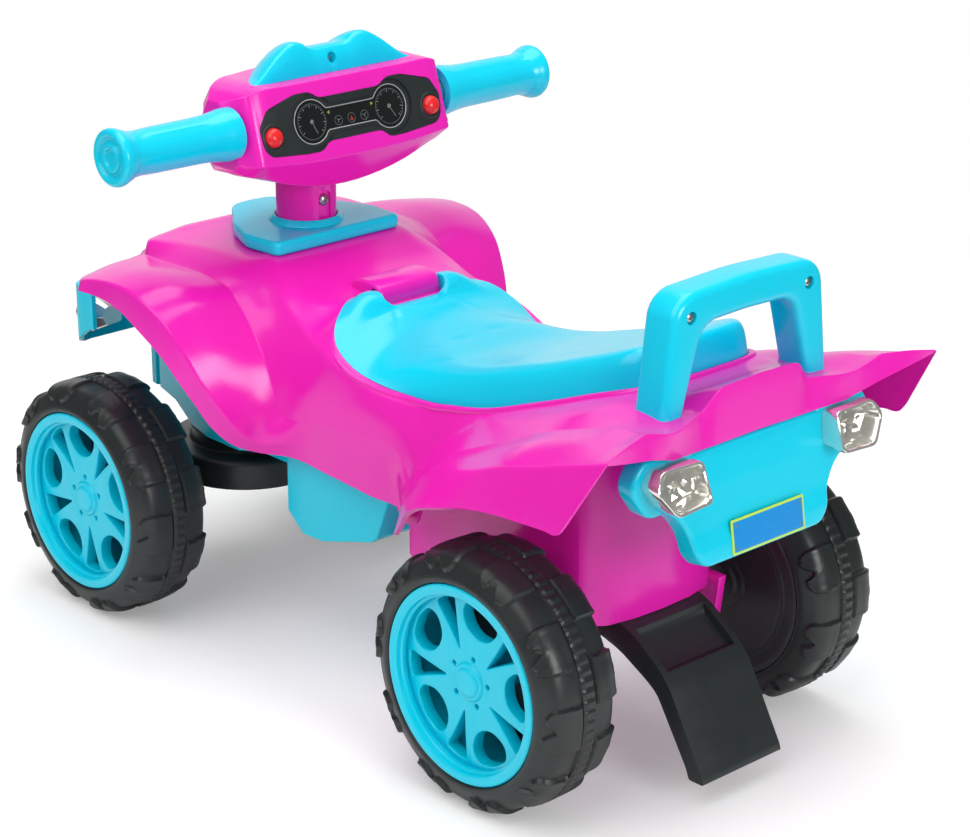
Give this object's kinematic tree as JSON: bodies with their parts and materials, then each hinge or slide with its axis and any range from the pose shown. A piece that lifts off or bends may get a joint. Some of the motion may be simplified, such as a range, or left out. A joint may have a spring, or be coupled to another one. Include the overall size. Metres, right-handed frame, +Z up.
{
  "type": "kids push car",
  "caption": "Foot-to-floor ride-on toy shaped like a quad bike, with steering front carriage, hinged seat over a storage tub, push handle and rear anti-tip foot",
  "frame": {"origin": "on the floor under the middle of the overall box", "axes": "+X to the rider's left, -Y to the front, +Z up"},
  "size_m": [0.362, 0.5936, 0.4055],
  "materials": {
    "pink_plastic": "smooth glossy moulded plastic",
    "cyan_plastic": "smooth glossy moulded plastic",
    "black_plastic": "satin moulded plastic",
    "tyre_plastic": "blow-moulded hard plastic tyre",
    "display_plastic": "glossy printed window",
    "red_plastic": "glossy button",
    "chrome_plastic": "vacuum-metallised plastic",
    "steel": "zinc-plated steel"
  },
  "bodies": {
    "chassis": {"body_shell": "pink_plastic", "storage_tub": "pink_plastic", "chassis_pan": "cyan_plastic", "front_housing": "cyan_plastic", "front_bumper": "cyan_plastic", "headlight_left": "chrome_plastic", "headlight_right": "chrome_plastic", "base_plate": "cyan_plastic", "push_handle_front": "cyan_plastic", "push_handle_rear": "cyan_plastic", "handle_screw_left": "steel", "handle_screw_right": "steel", "rear_bumper": "cyan_plastic", "tail_light_left": "chrome_plastic", "tail_light_right": "chrome_plastic", "anti_tip_foot": "black_plastic", "rear_axle": "steel", "seat_hinge_pin": "steel"},
    "seat": {"seat_lid": "cyan_plastic"},
    "steering": {"steering_rod": "steel", "column_tube": "pink_plastic", "column_screw": "steel", "dash_housing": "pink_plastic", "dash_panel": "black_plastic", "gauge_lens": "display_plastic", "battery_cover": "pink_plastic", "cowl": "cyan_plastic", "cowl_screw": "steel", "handlebar_tube": "steel", "grip_left": "cyan_plastic", "grip_right": "cyan_plastic"},
    "button_left": {"button_left": "red_plastic"},
    "button_right": {"button_right": "red_plastic"},
    "carriage": {"turntable": "black_plastic", "front_axle": "steel", "kingpin": "steel"},
    "link": {"drag_link": "steel"},
    "wheel_front_left": {"tyre_front_left": "tyre_plastic", "rim_front_left": "cyan_plastic", "hub_cap_front_left": "cyan_plastic"},
    "wheel_front_right": {"tyre_front_right": "tyre_plastic", "rim_front_right": "cyan_plastic", "hub_cap_front_right": "cyan_plastic"},
    "wheel_rear_left": {"tyre_rear_left": "tyre_plastic", "rim_rear_left": "cyan_plastic", "hub_cap_rear_left": "cyan_plastic"},
    "wheel_rear_right": {"tyre_rear_right": "tyre_plastic", "rim_rear_right": "cyan_plastic", "hub_cap_rear_right": "cyan_plastic"}
  },
  "joints": [
    {"name": "steering_turn", "type": "hinge", "parent": "chassis", "child": "steering", "pos_m": [0, -0.132, 0.3], "axis": [0, 0, 1], "range_deg": [-25, 25]},
    {"name": "carriage_turn", "type": "hinge", "parent": "chassis", "child": "carriage", "pos_m": [0, -0.203, 0.1], "axis": [0, 0, 1], "range_deg": [-25, 25]},
    {"name": "link_turn", "type": "hinge", "parent": "steering", "child": "link", "pos_m": [-0.028, -0.132, 0.122], "axis": [0, 0, 1], "range_deg": [-25, 25]},
    {"name": "seat_open", "type": "hinge", "parent": "chassis", "child": "seat", "pos_m": [0, -0.033, 0.2515], "axis": [1, 0, 0], "range_deg": [0, 70]},
    {"name": "press_left", "type": "slide", "parent": "steering", "child": "button_left", "axis": [0, -0.9681, -0.2504], "range_m": [0, 0.002], "stiffness_N_per_m": 250},
    {"name": "press_right", "type": "slide", "parent": "steering", "child": "button_right", "axis": [0, -0.9681, -0.2504], "range_m": [0, 0.002], "stiffness_N_per_m": 250},
    {"name": "spin_front_left", "type": "hinge", "parent": "carriage", "child": "wheel_front_left", "pos_m": [0.1145, -0.214, 0.083], "axis": [1, 0, 0], "continuous": true},
    {"name": "spin_front_right", "type": "hinge", "parent": "carriage", "child": "wheel_front_right", "pos_m": [-0.1145, -0.214, 0.083], "axis": [1, 0, 0], "continuous": true},
    {"name": "spin_rear_left", "type": "hinge", "parent": "chassis", "child": "wheel_rear_left", "pos_m": [0.1145, 0.177, 0.083], "axis": [1, 0, 0], "continuous": true},
    {"name": "spin_rear_right", "type": "hinge", "parent": "chassis", "child": "wheel_rear_right", "pos_m": [-0.1145, 0.177, 0.083], "axis": [1, 0, 0], "continuous": true}
  ],
  "couplings": [
    {"joint": "carriage_turn", "follows": "steering_turn", "ratio": 1},
    {"joint": "link_turn", "follows": "steering_turn", "ratio": -1}
  ]
}
